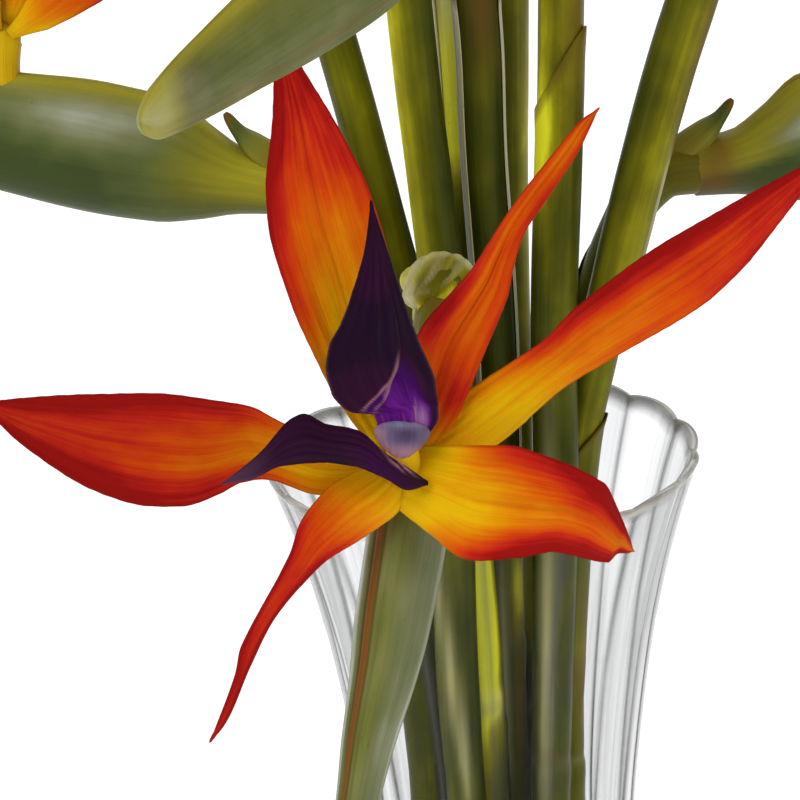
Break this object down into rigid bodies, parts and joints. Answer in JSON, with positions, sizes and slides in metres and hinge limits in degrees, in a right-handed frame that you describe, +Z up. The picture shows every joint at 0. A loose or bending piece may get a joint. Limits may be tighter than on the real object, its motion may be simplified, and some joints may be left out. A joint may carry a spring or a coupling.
{
  "type": "bird of paradise flowers in a vase",
  "caption": "Bird of paradise flowers with orange sepals and purple petals on tall green stems, standing in water in a flared fluted clear glass vase.",
  "frame": {"origin": "centre of the underside of the vase's foot, on the surface that it stands on", "axes": "+Z up along the vase's axis, +X to the right and -Y to the front, the way the lowest, wide open bloom faces"},
  "size_m": [0.4883, 0.4042, 0.6402],
  "materials": {
    "glass": "clear fire-polished pressed glass with vertical flutes",
    "water": "still clear water",
    "stem": "satin, olive to yellow-green with pale sheath margins and brown patches",
    "spathe": "satin with a waxy grey-green bloom, yellow-olive neck and red-brown seam",
    "sepal": "matt, yellow throat through orange to red edges with fine lengthwise streaks",
    "petal": "matt, near-black purple with a violet middle"
  },
  "bodies": {
    "root": {"vase": "glass", "water": "water", "stem_front": "stem", "spathe_front": "spathe", "sepals_front": "sepal", "petals_front": "petal", "stem_left": "stem", "spathe_left": "spathe", "sepals_left": "sepal", "petals_left": "petal", "stem_right": "stem", "spathe_right": "spathe", "sepals_right": "sepal", "petals_right": "petal", "stem_near": "stem", "spathe_near": "spathe", "sepals_near": "sepal", "petals_near": "petal", "stem_leaning_left": "stem", "spathe_leaning_left": "spathe", "sepals_leaning_left": "sepal", "petals_leaning_left": "petal", "stem_tall_left": "stem", "spathe_tall_left": "spathe", "sepals_tall_left": "sepal", "petals_tall_left": "petal", "stem_tall_back": "stem", "spathe_tall_back": "spathe", "sepals_tall_back": "sepal", "petals_tall_back": "petal", "stem_top_back": "stem", "spathe_top_back": "spathe", "sepals_top_back": "sepal", "petals_top_back": "petal", "stem_tall_right": "stem", "spathe_tall_right": "spathe", "sepals_tall_right": "sepal", "petals_tall_right": "petal", "stem_leaning_right": "stem", "spathe_leaning_right": "spathe", "sepals_leaning_right": "sepal", "petals_leaning_right": "petal"}
  },
  "joints": []
}
